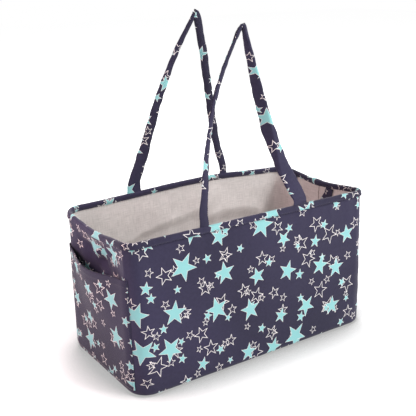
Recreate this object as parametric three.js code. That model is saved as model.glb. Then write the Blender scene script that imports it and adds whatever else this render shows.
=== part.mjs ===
// A soft fabric tote with a sprung wire rim, two long strap handles and an open top.
// Millimetres. X runs along the long sides, Y from front to back, Z up.
// The origin is the middle of the base, where the bag stands on a surface.
import * as THREE from 'three';

// Driving dimensions: the body
const rimLength = 560;            // outside the rim, along X
const rimWidth = 270;             // outside the rim, along Y
const rimHeight = 290;            // rim top above the ground, at the corners
const rimFrontRadius = 24;        // the rim's corners, crisper at the front
const rimBackRadius = 40;
const baseTaper = 2;              // each end draws in this much from rim to base
const baseSpread = 13;            // each soft long side spreads this much below the wire
const baseFrontRadius = 40;       // the base's corners
const baseBackRadius = 57;
const baseEdgeRadius = 8;         // the walls turn under the base on this radius
const backRimArch = 10;           // the back rim rises this much at its highest
const backRimPeak = 60;           // and is highest this far right of its middle
const endRimSag = 9;              // both end rims dip this much at their middle

// Driving dimensions: cloth, board and wire
const clothThickness = 1.6;       // printed outer cloth with its backing
const liningThickness = 1.0;
const boardThickness = 3;
const clearance = 0.3;            // left between neighbouring pieces
const liningSlack = 0.5;          // between the outer cloth and the hanging lining
const liningRise = 6.5;           // bottom edge of the lining walls
const liningBendInset = 1.3;      // how far the lining draws in at its foot
const wireDiameter = 4.5;
const wireEndGap = 1;             // between the two ends inside the ferrule

// Driving dimensions: the rim casing
const casingThickness = 2;        // two plies of cloth
const casingHeight = 17;          // from the rim top to the casing's lower stitching
const casingNeck = 9;             // below this depth the casing closes on the lining
const ferruleLength = 24;
const ferruleWall = 0.9;
const swellRunOut = 6;            // the casing's swelling runs on past the ferrule
const ferruleShift = 8;           // the wire's joint sits this far behind the end's middle

// Driving dimensions: the end pockets
const pocketDrop = 67;            // pocket mouth below the rim top
const pocketSag = 2;              // the mouth dips this much at its middle
const pocketBow = 14;             // the mouth stands out this much at its middle
const pocketBowStart = 70;        // below this height the pocket lies flat on the wall
const pocketBottom = 12;          // lower edge of the pocket above the ground
const pocketCornerTurn = 30;      // degrees that the pocket wraps each corner

// Driving dimensions: the handles
const footSpacing = 224;          // between the middles of one handle's feet
const footShift = 7;              // both handles sit this far left of the middle
const footHeight = 9;
const footFlare = 8;              // the foot spreads this much to each side on the rim
const strapThickness = 5;
const frontLeftWidth = 19;        // strap widths at the feet, where two legs are folded
const frontRightWidth = 35;
const backLeftWidth = 34;
const backRightWidth = 22;
const strapPinchWidth = 9;        // at the top, where the strap is folded along itself
const strapPinchThickness = 7;
const frontHandleHeight = 343;    // top of the strap's middle line above the rim
const frontHandleLean = 33;       // how far the top leans in over the bag
const frontHandleBelly = 22;      // how far mid strap bows to the back past a straight lean
const frontHandleSway = 7;        // how far mid strap bows to the left
const backHandleHeight = 360;     // the same for the back strap
const backHandleLean = 76;
const backHandleBelly = 9;
const backHandleSway = 3;
const foldedLegTwist = 20;        // degrees that a folded leg turns by mid leg
const footEdge = 1.2;             // height of the foot's thin ends
const inwardSwing = 16;           // degrees that the straps can lean in from rest

// Driving dimensions: the strap that hangs inside the right end
const innerStrapWidth = 22;
const innerStrapThickness = 3;
const innerStrapFront = 31;       // its front leg hangs this far before the end's middle
const innerStrapBackMargin = 53;  // its back leg hangs this far in from the back rim
const innerStrapDepth = 82;       // hanging depth below its roots
const innerRootHeight = 9;
const innerStandOff = 2;          // how far the hanging strap stands off its roots
const innerSettleShare = 0.35;    // it does so over this share of its depth

// Mesh fineness
const cornerSteps = 6;
const endSteps = 4;               // along half of one end
const sideSteps = 12;
const wireSides = 8;
const strapSteps = 72;
const hangSteps = 32;

const baseLength = rimLength - 2 * baseTaper;
const baseWidth = rimWidth + 2 * baseSpread;
const innerStrapBack = rimWidth / 2 - innerStrapBackMargin;

const lerp = THREE.MathUtils.lerp;
const radians = THREE.MathUtils.degToRad;

// Places inside the rim that follow from the sizes above. An inset is measured inwards
// from the outer cloth's face, and a depth downwards from the rim top.
const casingStand = casingThickness + clearance;
const channelWidth = wireDiameter + 2 * clearance;
const casingWidth = 2 * casingThickness + channelWidth;
const wireInset = wireDiameter / 2;
const wireDepth = casingThickness + clearance + wireDiameter / 2;
const ferruleBore = wireDiameter / 2 + clearance;
const ferruleRadius = ferruleBore + ferruleWall;
const swellReach = ferruleLength / 2 + swellRunOut;
const clothTopDepth = wireDepth + ferruleRadius + clearance;
const liningInset = clothThickness + liningSlack;
const liningFace = liningInset + liningThickness;

// Stations round the rim. Each is a side (straight or corner) and a place on it, or how
// far away from the end's middle it is, where the casing swells over the wire's joint.
// The front half runs from the middle of the right end, past the front, to the left end.
function halfStations(front) {
  const list = [];
  const across = front ? -1 : 1;
  list.push({ side: 'end', sx: 1, sy: across, place: 0 });
  for (const reach of [ferruleLength / 2, swellReach]) {
    list.push({ side: 'end', sx: 1, sy: across, away: reach + across * ferruleShift });
  }
  for (let i = 2; i < endSteps; i += 1) {
    list.push({ side: 'end', sx: 1, sy: across, place: i / endSteps });
  }
  for (let i = 0; i <= cornerSteps; i += 1) {
    list.push({ side: 'corner', sx: 1, sy: across, place: i / cornerSteps });
  }
  for (let i = 1; i < sideSteps; i += 1) {
    list.push({ side: 'long', sx: 1, sy: across, place: 1 - 2 * i / sideSteps });
  }
  for (let i = cornerSteps; i >= 0; i -= 1) {
    list.push({ side: 'corner', sx: -1, sy: across, place: i / cornerSteps });
  }
  for (let i = endSteps - 1; i >= 0; i -= 1) {
    list.push({ side: 'end', sx: -1, sy: across, place: i / endSteps });
  }
  return list;
}

// Height of the rim top over any point of the outline
function rimTopAt(x, y) {
  const farX = Math.min(1, Math.abs(x) / (rimLength / 2));
  const farY = Math.min(1, Math.abs(y) / (rimWidth / 2));
  const peakSpan = rimLength / 2 - Math.sign(x - backRimPeak) * backRimPeak;
  const fromPeak = Math.min(1, Math.abs(x - backRimPeak) / peakSpan);
  const arch = y > 0 ? backRimArch * Math.cos(fromPeak * Math.PI / 2) ** 2 * farY : 0;
  const sag = endRimSag * Math.cos(farY * Math.PI / 2) ** 2 * farX ** 4;
  return rimHeight + arch - sag;
}

// A point of the wall at a station and height, set in from the outer cloth's face.
// shift is the distance in Y that a pair of cut edges is moved from the end's middle.
function wallPoint(station, height, inset, shift = 0) {
  const rise = Math.max(0, height / rimHeight);
  const halfX = lerp(baseLength / 2, rimLength / 2 - casingStand, rise) - inset;
  const halfY = lerp(baseWidth / 2, rimWidth / 2 - casingStand, rise) - inset;
  const { side, sx, sy, place, away } = station;
  const baseRadius = sy < 0 ? baseFrontRadius : baseBackRadius;
  const rimRadius = sy < 0 ? rimFrontRadius : rimBackRadius;
  const radius = lerp(baseRadius, rimRadius - casingStand, rise) - inset;
  if (away !== undefined) {
    return new THREE.Vector3(sx * halfX, sy * away, height);
  }
  if (side === 'end') {
    return new THREE.Vector3(sx * halfX, lerp(sy * shift, sy * (halfY - radius), place), height);
  }
  if (side === 'long') {
    return new THREE.Vector3(place * (halfX - radius), sy * halfY, height);
  }
  const turn = place * Math.PI / 2;
  return new THREE.Vector3(
    sx * (halfX - radius + radius * Math.cos(turn)),
    sy * (halfY - radius + radius * Math.sin(turn)),
    height,
  );
}

// The same, measured down from the rim top
function rimPoint(station, depth, inset, shift = 0) {
  const onTop = wallPoint(station, rimHeight, 0, shift);
  const height = rimTopAt(onTop.x, onTop.y) - depth;
  return wallPoint(station, height, inset, shift);
}

// A closed solid through a row of like sections, each with an even number of points.
// An open row gets end caps, zipped across from the section's first half to its second.
function loft(sections, closedRow = false) {
  const count = sections[0].length;
  const rows = sections.length;
  const positions = sections.flat().flatMap((point) => point.toArray());
  const index = [];
  const quad = (a, b, c, d) => index.push(a, b, c, a, c, d);
  for (let row = 0; row < (closedRow ? rows : rows - 1); row += 1) {
    const here = row * count;
    const next = (row + 1) % rows * count;
    for (let i = 0; i < count; i += 1) {
      const j = (i + 1) % count;
      quad(here + i, here + j, next + j, next + i);
    }
  }
  if (!closedRow) {
    const last = (rows - 1) * count;
    for (let i = 0; i < count / 2 - 1; i += 1) {
      const across = count - 1 - i;
      quad(i, across, across - 1, i + 1);
      quad(last + i, last + i + 1, last + across - 1, last + across);
    }
  }
  return outwardGeometry(positions, index);
}

// Turns every face outwards if the solid came out inside out
function outwardGeometry(positions, index) {
  let volume = 0;
  const corner = [new THREE.Vector3(), new THREE.Vector3(), new THREE.Vector3()];
  for (let i = 0; i < index.length; i += 3) {
    corner.forEach((point, k) => point.fromArray(positions, 3 * index[i + k]));
    volume += corner[0].dot(corner[1].cross(corner[2]));
  }
  if (volume < 0) {
    for (let i = 0; i < index.length; i += 3) {
      [index[i], index[i + 1]] = [index[i + 1], index[i]];
    }
  }
  const geometry = new THREE.BufferGeometry();
  geometry.setAttribute('position', new THREE.Float32BufferAttribute(positions, 3));
  geometry.setIndex(index);
  geometry.computeVertexNormals();
  return geometry;
}

// Finishes
const finish = {
  print: new THREE.MeshStandardMaterial({ color: 0x3a3850, roughness: 0.9, metalness: 0 }),
  lining: new THREE.MeshStandardMaterial({ color: 0xb7b1ac, roughness: 0.95, metalness: 0 }),
  board: new THREE.MeshStandardMaterial({ color: 0x8f8577, roughness: 0.9, metalness: 0 }),
  steel: new THREE.MeshStandardMaterial({ color: 0x9a9da0, roughness: 0.35, metalness: 1 }),
};

const bag = new THREE.Group();
function addPiece(name, geometry, material) {
  const mesh = new THREE.Mesh(geometry, material);
  mesh.name = name;
  bag.add(mesh);
  return mesh;
}

// Outer cloth: each half stands on its turned-under edge and ends under the wire
const wallShares = [0.35, 0.68];   // rows between the base edge and the rim
function outerSection(station, shift) {
  const bendOut = baseEdgeRadius * (1 - Math.SQRT1_2);
  const bendIn = bendOut + clothThickness * Math.SQRT1_2;
  const outside = [
    wallPoint(station, 0, baseEdgeRadius, shift),
    wallPoint(station, bendOut, bendOut, shift),
    wallPoint(station, baseEdgeRadius, 0, shift),
  ];
  const inside = [
    wallPoint(station, clothThickness, baseEdgeRadius, shift),
    wallPoint(station, bendIn, bendIn, shift),
    wallPoint(station, baseEdgeRadius, clothThickness, shift),
  ];
  const topOutside = rimPoint(station, clothTopDepth, 0, shift);
  for (const share of wallShares) {
    const height = lerp(baseEdgeRadius, topOutside.z, share);
    outside.push(wallPoint(station, height, 0, shift));
    inside.push(wallPoint(station, height, clothThickness, shift));
  }
  outside.push(topOutside);
  inside.push(rimPoint(station, clothTopDepth, clothThickness, shift));
  return outside.concat(inside.reverse());
}

// Lining: hangs inside the outer cloth and draws in a little at its foot
function liningSection(station, shift) {
  const footInset = liningInset + liningBendInset;
  const bendHeight = liningRise + baseEdgeRadius;
  const topOutside = rimPoint(station, clothTopDepth, liningInset, shift);
  const topInside = rimPoint(station, clothTopDepth, liningInset + liningThickness, shift);
  const outside = [
    wallPoint(station, liningRise, footInset, shift),
    wallPoint(station, bendHeight, liningInset, shift),
  ];
  const inside = [
    wallPoint(station, liningRise, footInset + liningThickness, shift),
    wallPoint(station, bendHeight, liningInset + liningThickness, shift),
  ];
  for (const share of wallShares) {
    const height = lerp(bendHeight, topOutside.z, share);
    outside.push(wallPoint(station, height, liningInset, shift));
    inside.push(wallPoint(station, height, liningInset + liningThickness, shift));
  }
  outside.push(topOutside);
  inside.push(topInside);
  return outside.concat(inside.reverse());
}

// Rim casing: cloth folded over the wire, closed again below it on cloth and lining.
// Its outline is given as inset from the outer cloth's face and depth below the rim top.
const casingOutline = [
  [-casingStand, casingHeight],
  [-casingStand, wireDepth],
];
const archSteps = 6;
for (let i = 1; i < archSteps; i += 1) {
  const turn = Math.PI * i / archSteps;
  casingOutline.push([
    wireInset - casingWidth / 2 * Math.cos(turn),
    wireDepth * (1 - Math.sin(turn)),
  ]);
}
const neckInset = liningFace + clearance;
casingOutline.push(
  [casingWidth - casingStand, wireDepth],
  [casingWidth - casingStand, casingNeck - casingThickness],
  [neckInset + casingThickness, casingNeck + casingThickness],
  [neckInset + casingThickness, casingHeight],
  [neckInset, casingHeight],
  [neckInset, casingNeck + casingThickness],
  [channelWidth - clearance, casingNeck - casingThickness / 2],
  [channelWidth - clearance, wireDepth],
);
const channelRise = wireDiameter / 2 + clearance;
for (let i = archSteps - 1; i > 0; i -= 1) {
  const turn = Math.PI * i / archSteps;
  casingOutline.push([
    wireInset - channelWidth / 2 * Math.cos(turn),
    wireDepth - channelRise * Math.sin(turn),
  ]);
}
casingOutline.push(
  [-clearance, wireDepth],
  [-clearance, casingHeight],
);

// The casing swells where the ferrule joins the wire
const swell = ferruleRadius + clearance - channelWidth / 2;
function casingSection(station, shift) {
  const middle = rimPoint(station, wireDepth, wireInset, shift);
  const nearFerrule = station.side === 'end' && station.sx > 0
    && Math.abs(middle.y - ferruleShift) < swellReach;
  return casingOutline.map(([inset, depth]) => {
    const across = inset - wireInset;
    const down = depth - wireDepth;
    const reach = Math.hypot(across, down);
    const grow = nearFerrule && reach < casingWidth ? swell / reach : 0;
    return rimPoint(station, depth + down * grow, inset + across * grow, shift);
  });
}

// Seams at the middle of each end keep the halves one clearance apart
const seam = clearance / 2;
for (const front of [true, false]) {
  const half = front ? 'front' : 'back';
  const stations = halfStations(front);
  const outer = stations.map((station) => outerSection(station, seam));
  addPiece(`outer_${half}`, loft(outer), finish.print);
  const lining = stations.map((station) => liningSection(station, seam));
  addPiece(`lining_${half}`, loft(lining), finish.lining);
  const casing = stations.map((station) => casingSection(station, seam));
  addPiece(`rim_casing_${half}`, loft(casing), finish.print);
}

// Base: flat sheets with the base's rounded corners, laid on one another
function baseSheet(inset, bottom, thickness) {
  const halfX = baseLength / 2 - inset;
  const halfY = baseWidth / 2 - inset;
  const back = baseBackRadius - inset;
  const front = baseFrontRadius - inset;
  const outline = new THREE.Shape();
  outline.moveTo(halfX, front - halfY);
  outline.lineTo(halfX, halfY - back);
  outline.absarc(halfX - back, halfY - back, back, 0, Math.PI / 2);
  outline.absarc(back - halfX, halfY - back, back, Math.PI / 2, Math.PI);
  outline.absarc(front - halfX, front - halfY, front, Math.PI, 1.5 * Math.PI);
  outline.absarc(halfX - front, front - halfY, front, 1.5 * Math.PI, 2 * Math.PI);
  const geometry = new THREE.ExtrudeGeometry(outline, {
    depth: thickness,
    bevelEnabled: false,
    curveSegments: cornerSteps / 2,
  });
  return geometry.translate(0, 0, bottom);
}
const panelInset = baseEdgeRadius + clearance;
const boardBottom = clothThickness + clearance;
const floorBottom = boardBottom + boardThickness + clearance;
const floorInset = liningInset + liningBendInset + clearance;
addPiece('bottom_panel', baseSheet(panelInset, 0, clothThickness), finish.print);
const boardInset = panelInset + clearance;
addPiece('base_board', baseSheet(boardInset, boardBottom, boardThickness), finish.board);
addPiece('lining_floor', baseSheet(floorInset, floorBottom, liningThickness), finish.lining);

// Rim wire: one loop with its ends facing each other inside the ferrule
function ringAround(station, radius, sides, shift) {
  const ring = [];
  for (let i = 0; i < sides; i += 1) {
    const turn = 2 * Math.PI * i / sides;
    const depth = wireDepth + radius * Math.cos(turn);
    ring.push(rimPoint(station, depth, wireInset + radius * Math.sin(turn), shift));
  }
  return ring;
}
const wireEnd = (station, side) => {
  if (station.sx < 0) return 0;
  return side * ferruleShift + wireEndGap / 2;
};
const wireBack = halfStations(false)
  .map((station) => ringAround(station, wireDiameter / 2, wireSides, wireEnd(station, 1)));
const wireFront = halfStations(true)
  .map((station) => ringAround(station, wireDiameter / 2, wireSides, wireEnd(station, -1)));
const wireRings = wireBack.concat(wireFront.reverse().slice(1));
addPiece('rim_wire', loft(wireRings), finish.steel);

// Ferrule: a sleeve swept along the same stretch of rim
const endMiddle = { side: 'end', sx: 1, sy: 1, place: 0 };
const ferruleSides = 12;
const ferruleSteps = 3;
const ferruleInside = [];
const ferruleOutside = [];
for (let i = 0; i <= ferruleSteps; i += 1) {
  const along = ferruleShift + ferruleLength * (i / ferruleSteps - 0.5);
  ferruleInside.push(ringAround(endMiddle, ferruleBore, ferruleSides, along));
  ferruleOutside.push(ringAround(endMiddle, ferruleRadius, ferruleSides, along));
}
const ferruleSections = ferruleInside[0].map((_, i) => [
  ...ferruleInside.map((ring) => ring[i]),
  ...ferruleOutside.map((ring) => ring[i]).reverse(),
]);
addPiece('wire_ferrule', loft(ferruleSections, true), finish.steel);

// End pockets: sewn down at the sides and foot, slack at the mouth
const pocketRows = [0, 0.2, 0.42, 0.62, 0.8, 0.92, 1];
function pocketStations(sx) {
  const list = [];
  const turnPlace = pocketCornerTurn / 90;
  for (const sy of [-1, 1]) {
    const half = [];
    for (const share of [1, 0.5, 0]) {
      half.push({ side: 'corner', sx, sy, place: turnPlace * share });
    }
    for (let i = endSteps - 1; i > 0; i -= 1) {
      half.push({ side: 'end', sx, sy, place: i / endSteps });
    }
    if (sy < 0) {
      list.push(...half, { side: 'end', sx, sy, place: 0 });
    } else {
      list.push(...half.reverse());
    }
  }
  return list;
}
function pocketSection(station) {
  const { sx, sy } = station;
  const sideEdge = { side: 'corner', sx, sy, place: pocketCornerTurn / 90 };
  const halfSpan = Math.abs(wallPoint(sideEdge, rimHeight, 0).y);
  const onRim = wallPoint(station, rimHeight, 0);
  const slack = Math.cos(Math.PI / 2 * Math.min(1, Math.abs(onRim.y) / halfSpan)) ** 2;
  const mouth = rimTopAt(onRim.x, onRim.y) - pocketDrop - pocketSag * slack;
  const wallSide = [];
  const outSide = [];
  for (const share of pocketRows) {
    const height = lerp(pocketBottom, mouth, share);
    const open = THREE.MathUtils.smoothstep(height, pocketBowStart, mouth);
    const stand = clearance + pocketBow * slack * open;
    wallSide.push(wallPoint(station, height, -stand));
    outSide.push(wallPoint(station, height, -stand - clothThickness));
  }
  return outSide.concat(wallSide.reverse());
}
for (const [name, sx] of [['pocket_left', -1], ['pocket_right', 1]]) {
  const sections = pocketStations(sx).map(pocketSection);
  addPiece(name, loft(sections), finish.print);
}

// Handles. A leg's run is given by how far it stands from the middle, as a share of the
// foot's distance, and by its height, as a share of the handle's rise.
const legRun = [
  [1, 0], [0.985, 0.03], [0.84, 0.16], [0.665, 0.36], [0.465, 0.6],
  [0.265, 0.8], [0.14, 0.905], [0.085, 0.96], [0.05, 0.99], [0, 1],
];
const rimMiddle = rimWidth / 2 - casingWidth / 2;
const levelShare = 0.12;          // the sections turn square to the leg over this share
const alongX = new THREE.Vector3(1, 0, 0);
const alongY = new THREE.Vector3(0, 1, 0);
const sectionSides = 10;
const sectionPower = 0.6;         // below 1 squares off the section's rounding

const flatOval = Array.from({ length: sectionSides }, (_, i) => {
  const turn = 2 * Math.PI * (i + 0.5) / sectionSides;
  const round = (value) => Math.sign(value) * Math.abs(value) ** sectionPower;
  return new THREE.Vector2(round(Math.cos(turn)), round(Math.sin(turn)));
});

// A strap lofted along a curve. Its thickness faces thin and its width runs along wide,
// both turned to follow the curve. form gives the width, thickness and twist at a point,
// and level, which is 1 where the section stays level for a cut end and 0 further on.
function strapSections(curve, thin, wide, steps, form) {
  const sections = [];
  for (let i = 0; i <= steps; i += 1) {
    const centre = curve.getPoint(i / steps);
    const along = curve.getTangent(i / steps);
    const { width, thickness, twist, level } = form(centre);
    const face = thin.clone().addScaledVector(along, -thin.dot(along)).normalize();
    face.applyAxisAngle(along, radians(twist));
    const edge = new THREE.Vector3().crossVectors(along, face);
    const levelEdge = wide.clone().multiplyScalar(Math.sign(edge.dot(wide)) || 1);
    face.lerp(thin, level).normalize();
    edge.lerp(levelEdge, level).normalize();
    sections.push(flatOval.map((corner) => centre.clone()
      .addScaledVector(edge, corner.x * width / 2)
      .addScaledVector(face, corner.y * thickness / 2)));
  }
  return sections;
}

function handleCurve({ sy, top, lean, belly, sway, base }) {
  const point = (sx, [out, up]) => new THREE.Vector3(
    sx * out * footSpacing / 2 - footShift - sway * Math.sin(Math.PI * up),
    sy * (rimMiddle - lean * up) + belly * 4 * up * (1 - up),
    lerp(base, top, up),
  );
  const left = legRun.map((step) => point(-1, step));
  const right = legRun.slice(0, -1).reverse().map((step) => point(1, step));
  return new THREE.CatmullRomCurve3(left.concat(right));
}

// The cut end at each foot slopes, so the strap can lean in without meeting its foot
function bevelEnd(section, sy, base) {
  const outerFace = sy * (rimMiddle + strapThickness / 2);
  for (const point of section) {
    const inward = Math.abs(outerFace - point.y);
    point.z = base + inward * Math.tan(radians(inwardSwing));
  }
}

function footOutline(middle, sy, width) {
  const seat = (x) => rimTopAt(x, sy * rimMiddle) + clearance;
  const reach = width / 2 + footFlare;
  const top = footTop(sy);
  const outline = new THREE.Shape();
  outline.moveTo(middle - reach, seat(middle - reach));
  for (const share of [-0.5, 0, 0.5, 1]) {
    outline.lineTo(middle + share * reach, seat(middle + share * reach));
  }
  outline.lineTo(middle + reach, seat(middle + reach) + footEdge);
  outline.quadraticCurveTo(middle + width / 2, seat(middle) + footEdge,
    middle + width / 2, top);
  outline.lineTo(middle - width / 2, top);
  outline.quadraticCurveTo(middle - width / 2, seat(middle) + footEdge,
    middle - reach, seat(middle - reach) + footEdge);
  return outline;
}

// Both feet of a handle end level with each other, so the strap folds on a level line
function footTop(sy) {
  const highest = Math.max(
    rimTopAt(-footShift - footSpacing / 2, sy * rimMiddle),
    rimTopAt(-footShift + footSpacing / 2, sy * rimMiddle),
  );
  return highest + footHeight;
}

const handles = [
  {
    name: 'front', sy: -1, rise: frontHandleHeight, lean: frontHandleLean,
    belly: frontHandleBelly, sway: frontHandleSway,
    width: { left: frontLeftWidth, right: frontRightWidth },
    turn: { left: foldedLegTwist, right: 0 },
  },
  {
    name: 'back', sy: 1, rise: backHandleHeight, lean: backHandleLean,
    belly: backHandleBelly, sway: backHandleSway,
    width: { left: backLeftWidth, right: backRightWidth },
    turn: { left: 0, right: foldedLegTwist },
  },
];
for (const handle of handles) {
  const { name, sy, rise, width, turn } = handle;
  const base = footTop(sy) + clearance;
  const top = rimHeight + rise;
  const curve = handleCurve({ ...handle, base, top });
  const sections = strapSections(curve, alongY, alongX, strapSteps, (centre) => {
    const climb = (centre.z - base) / (top - base);
    const side = centre.x < -footShift ? 'left' : 'right';
    return {
      width: lerp(width[side], strapPinchWidth, climb),
      thickness: lerp(strapThickness, strapPinchThickness, climb),
      twist: turn[side] * Math.sin(Math.PI * climb) ** 2,
      level: 1 - THREE.MathUtils.smoothstep(climb, 0, levelShare),
    };
  });
  bevelEnd(sections[0], sy, base);
  bevelEnd(sections[strapSteps], sy, base);
  addPiece(`${name}_handle`, loft(sections), finish.print);
  for (const [side, sx] of [['left', -1], ['right', 1]]) {
    const middle = sx * footSpacing / 2 - footShift;
    const foot = new THREE.ExtrudeGeometry(footOutline(middle, sy, width[side]), {
      depth: strapThickness,
      bevelEnabled: false,
      curveSegments: 5,
    });
    foot.rotateX(Math.PI / 2);
    foot.translate(0, sy * rimMiddle + strapThickness / 2, 0);
    addPiece(`${name}_handle_foot_${side}`, foot, finish.print);
  }
}

// Strap inside the right end: its roots are sewn under the casing, and the rest hangs
// from them. A root is a short flat strip that ends at the height of the fold.
const rootInset = liningFace + clearance;
const strapFaceInset = rootInset + innerStrapThickness;
function endPoint(y, height, inset) {
  return wallPoint(endMiddle, height, inset, y);
}
const casingEdge = (y) => rimTopAt(rimLength / 2, y) - casingHeight - clearance;
const innerFold = casingEdge(-innerStrapFront) - innerRootHeight;
for (const [side, y] of [['front', -innerStrapFront], ['back', innerStrapBack]]) {
  const edges = [y - innerStrapWidth / 2, y + innerStrapWidth / 2];
  const sections = edges.map((edge) => [
    endPoint(edge, casingEdge(edge), rootInset),
    endPoint(edge, casingEdge(edge), strapFaceInset),
    endPoint(edge, innerFold, strapFaceInset),
    endPoint(edge, innerFold, rootInset),
  ]);
  addPiece(`inner_strap_root_${side}`, loft(sections), finish.print);
}

// The hanging stretch: two legs that draw together into a round bottom, given by the
// share of the half span and the share of the depth
const hangRun = [[1, 0], [0.84, 0.18], [0.64, 0.44], [0.4, 0.75], [0.19, 0.94], [0, 1]];
const innerMiddle = (innerStrapBack - innerStrapFront) / 2;
const innerHalfSpan = (innerStrapBack + innerStrapFront) / 2;
const hangTop = innerFold - clearance;
function hangPoint(sy, [out, down]) {
  const stand = innerStandOff * Math.min(1, down / innerSettleShare);
  return endPoint(
    innerMiddle + sy * out * innerHalfSpan,
    hangTop - down * innerStrapDepth,
    rootInset + innerStrapThickness / 2 + stand,
  );
}
const frontLeg = hangRun.map((step) => hangPoint(-1, step));
const backLeg = hangRun.slice(0, -1).reverse().map((step) => hangPoint(1, step));
const hangCurve = new THREE.CatmullRomCurve3(frontLeg.concat(backLeg));
const hangSections = strapSections(hangCurve, alongX, alongY, hangSteps, (centre) => {
  const down = (hangTop - centre.z) / innerStrapDepth;
  return {
    width: innerStrapWidth,
    thickness: innerStrapThickness,
    twist: 0,
    level: 1 - THREE.MathUtils.smoothstep(down, 0, innerSettleShare),
  };
});
addPiece('inner_strap', loft(hangSections), finish.print);

export default bag;
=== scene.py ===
# A soft storage bag of star-printed cotton canvas: a sprung wire holds the rim of the
# open top, a linen-like lining hangs inside, and two long cloth straps fold at the rim.
# Metres, +Z up. The CAD model is the fixed frame, and each section dresses one piece.
import math

import bmesh
import bpy
from mathutils import Matrix, Vector, noise


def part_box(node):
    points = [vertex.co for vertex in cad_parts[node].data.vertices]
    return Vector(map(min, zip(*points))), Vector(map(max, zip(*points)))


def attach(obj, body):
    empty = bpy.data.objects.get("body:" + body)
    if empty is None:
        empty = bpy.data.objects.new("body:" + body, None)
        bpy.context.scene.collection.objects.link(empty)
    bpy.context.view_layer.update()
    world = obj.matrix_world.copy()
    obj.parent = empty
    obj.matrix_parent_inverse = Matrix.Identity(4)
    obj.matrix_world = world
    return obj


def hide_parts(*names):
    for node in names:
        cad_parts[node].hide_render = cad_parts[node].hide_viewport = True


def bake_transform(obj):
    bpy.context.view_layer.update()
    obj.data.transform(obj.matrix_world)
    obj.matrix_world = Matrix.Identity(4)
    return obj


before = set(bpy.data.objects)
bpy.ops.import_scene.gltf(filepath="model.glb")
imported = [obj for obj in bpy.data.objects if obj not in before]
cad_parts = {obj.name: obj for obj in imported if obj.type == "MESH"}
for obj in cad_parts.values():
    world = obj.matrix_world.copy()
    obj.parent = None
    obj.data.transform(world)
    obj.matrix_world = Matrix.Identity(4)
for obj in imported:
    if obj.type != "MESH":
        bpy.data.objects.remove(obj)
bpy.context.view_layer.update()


# Camera. It stands before the left front corner, a little above the rim, and its place,
# roll and lens are those that the photograph's outlines were fitted with.
eye = Vector((-0.7976, -1.1642, 0.7094))
look = Vector((0.5276, 0.7961, -0.2964))
camera_right = Vector((0.8298, -0.5577, -0.0209))
camera_up = Vector((0.1819, 0.2349, 0.9548))
aim_right, aim_up = 0.0014, -0.0009  # a last trim of where it looks
look = (look + camera_right * aim_right + camera_up * aim_up).normalized()
camera_right = look.cross(camera_up).normalized()
camera_up = camera_right.cross(look)

camera_data = bpy.data.cameras.new("camera")
camera_data.sensor_width = 36.0
camera_data.lens = 63.38
camera = bpy.data.objects.new("camera", camera_data)
bpy.context.collection.objects.link(camera)
turn = Matrix((camera_right, camera_up, -look)).transposed()
camera.matrix_world = Matrix.Translation(eye) @ turn.to_4x4()
bpy.context.scene.camera = camera


# Outer cloth: printed cotton canvas in a front and a back half, seamed down the middle of
# each end. It is cut flat, sewn round the wire at the top and turned under at the base.
rim_half = (0.280, 0.135)
rim_rounds = (0.024, 0.040)  # corners at the front and at the back
rim_height = 0.290
base_half = (0.278, 0.148)
base_rounds = (0.040, 0.057)
base_edge = 0.008  # radius where the cloth turns under
rim_arch = 0.010  # rise of the back rim, and its top's x
rim_peak = 0.060
end_sag = 0.009  # how far the wire sinks across the ends
casing_stand = 0.0023  # the casing's stand past the cloth
cloth_thickness = 0.0016

# Stretches of a quarter of the way round, at the front and at the back: half a long
# side, a corner and half an end
long_reach = (0.2443, 0.2323)
corner_reach = (0.0497, 0.0742)
end_reach = (0.1083, 0.0958)
quarter = 0.4023
girth = 4 * quarter


def lerp(a, b, share):
    return a + (b - a) * share


def clamp(value, low=0.0, high=1.0):
    return max(low, min(high, value))


def smooth(low, high, value):
    """0 below low, 1 above high, and an even slope between them."""
    share = clamp((value - low) / (high - low))
    return share * share * (3 - 2 * share)


def ripple(point, spread, seed=0.0):
    """Soft unevenness from -1 to 1, with lumps about spread apart."""
    return noise.noise(Vector(point) / spread + Vector((seed, seed * 1.7, seed * 0.6)))


def wall(around, height, inset=0.0):
    """A point of the bag's side. around runs from the middle of the front to the right."""
    rise = max(0.0, height / rim_height)
    half_x = lerp(base_half[0], rim_half[0] - casing_stand, rise) - inset
    half_y = lerp(base_half[1], rim_half[1] - casing_stand, rise) - inset
    along = around % girth
    from_middle = min(along % (2 * quarter), 2 * quarter - along % (2 * quarter))
    back = quarter < along < 3 * quarter
    side_x = 1 if along < 2 * quarter else -1
    bend = lerp(base_rounds[back], rim_rounds[back] - casing_stand, rise) - inset
    if from_middle <= long_reach[back]:
        place = (from_middle / long_reach[back] * (half_x - bend), half_y)
    elif from_middle <= long_reach[back] + corner_reach[back]:
        angle = (from_middle - long_reach[back]) / corner_reach[back] * math.pi / 2
        place = (
            half_x - bend + bend * math.sin(angle),
            half_y - bend + bend * math.cos(angle),
        )
    else:
        place = (half_x, (half_y - bend) * (quarter - from_middle) / end_reach[back])
    return Vector((side_x * place[0], place[1] if back else -place[1], height))


def rim_top(x, y):
    """Height of the rim over a place on its outline: the back arches and the ends sag."""
    far_x = min(1.0, abs(x) / rim_half[0])
    far_y = min(1.0, abs(y) / rim_half[1])
    span = rim_half[0] - math.copysign(rim_peak, x - rim_peak)
    from_peak = min(1.0, abs(x - rim_peak) / span)
    arch = rim_arch * math.cos(from_peak * math.pi / 2) ** 2 * far_y if y > 0 else 0.0
    sag = end_sag * math.cos(far_y * math.pi / 2) ** 2 * far_x**4
    return rim_height + arch - sag


def rim(around, depth, inset=0.0):
    """A point measured down from the rim's top."""
    top = wall(around, rim_height)
    return wall(around, rim_top(top.x, top.y) - depth, inset)


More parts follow.
